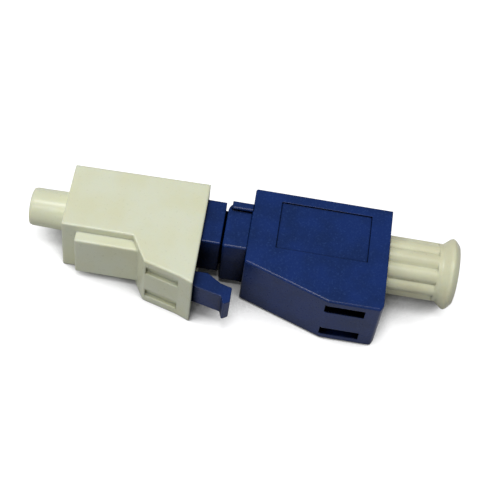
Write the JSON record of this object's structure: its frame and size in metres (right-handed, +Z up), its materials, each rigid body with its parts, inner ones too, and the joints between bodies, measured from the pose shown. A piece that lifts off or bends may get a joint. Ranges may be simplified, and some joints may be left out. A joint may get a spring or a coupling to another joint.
{
  "type": "fibre plug adapter",
  "caption": "Small in-line fibre adapter with a latched square plug at one end, a socket for the same plug at the other, a slide-on plug cap and a fluted dust plug.",
  "frame": {"origin": "on the optical axis, at the shoulder plane where the plug's neck meets the socket housing", "axes": "+X along the optical axis towards the socket's mouth, the plug points to -X, the latch is on the -Y side, +Z is up when the part lies on its flat side"},
  "size_m": [0.0383, 0.0113, 0.0066],
  "materials": {
    "blue_housing": "satin",
    "blue_core": "satin",
    "ivory_cap": "satin",
    "ivory_plug": "satin",
    "zirconia": "gloss",
    "steel": "satin",
    "spring_steel": "satin",
    "fibre_glass": "gloss"
  },
  "bodies": {
    "main_body": {"plug_housing": "blue_housing", "core_body": "blue_core", "socket_housing": "blue_housing", "sleeve_holder": "blue_core", "split_sleeve": "zirconia", "ferrule_spring": "spring_steel"},
    "latch": {"latch_lever": "blue_housing"},
    "ferrule_unit": {"ferrule": "zirconia", "ferrule_collar": "steel", "doped_fibre": "fibre_glass"},
    "cap": {"plug_cap": "ivory_cap"},
    "dust_cover": {"dust_plug": "ivory_plug"}
  },
  "joints": [
    {"name": "cap_slide", "type": "slide", "parent": "main_body", "child": "cap", "axis": [-1, 0, 0], "range_m": [0, 0.016]},
    {"name": "dust_plug_slide", "type": "slide", "parent": "main_body", "child": "dust_cover", "axis": [1, 0, 0], "range_m": [0, 0.009]},
    {"name": "latch_press", "type": "hinge", "parent": "main_body", "child": "latch", "pos_m": [-0.01345, -0.00272, 0], "axis": [0, 0, 1], "range_deg": [0, 8], "stiffness_Nm_per_rad": 0.3},
    {"name": "ferrule_float", "type": "slide", "parent": "main_body", "child": "ferrule_unit", "axis": [1, 0, 0], "range_m": [0, 0.0006], "stiffness_N_per_m": 1500, "deforming": ["ferrule_spring"]}
  ]
}
